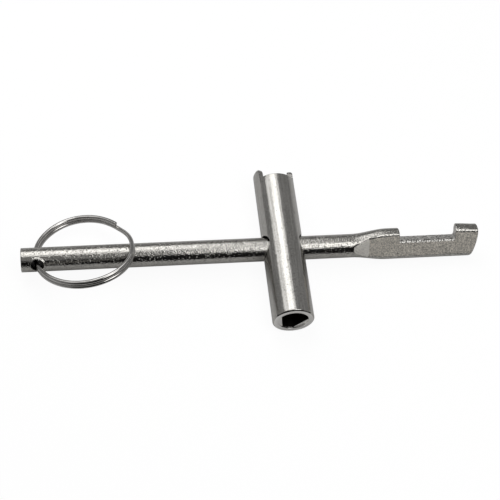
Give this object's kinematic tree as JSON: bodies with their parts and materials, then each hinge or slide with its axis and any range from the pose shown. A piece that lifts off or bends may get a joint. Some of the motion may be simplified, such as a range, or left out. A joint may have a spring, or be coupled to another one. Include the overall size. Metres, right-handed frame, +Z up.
{
  "type": "utility cabinet key",
  "caption": "Cross-shaped key: a round bar with a notched flat blade and a split ring, and a sliding cross sleeve with a triangular socket and drive prongs.",
  "frame": {"origin": "bottom centre of the box around the whole key", "axes": "+X along the bar towards its blade, +Y along the sleeve towards its prongs, +Z up from the surface the key lies on"},
  "size_m": [0.1542, 0.0588, 0.0166],
  "materials": {
    "plated_bar": "nickel plate over a rough rolled bar, ground on the blade",
    "plated_sleeve": "bright nickel plate over turned steel",
    "ring_wire": "polished nickel-plated spring wire"
  },
  "bodies": {
    "bar": {"cross_bar": "plated_bar"},
    "sleeve": {"cross_sleeve": "plated_sleeve"},
    "ring": {"split_ring": "ring_wire"}
  },
  "joints": [
    {"name": "sleeve_slide", "type": "slide", "parent": "bar", "child": "sleeve", "axis": [1, 0, 0], "range_m": [-0.042, 0.0172]},
    {"name": "ring_swing", "type": "hinge", "parent": "bar", "child": "ring", "pos_m": [-0.07182, -0.00128, 0.0066], "axis": [0, -0.8949, 0.4462], "range_deg": [0, 339]}
  ]
}
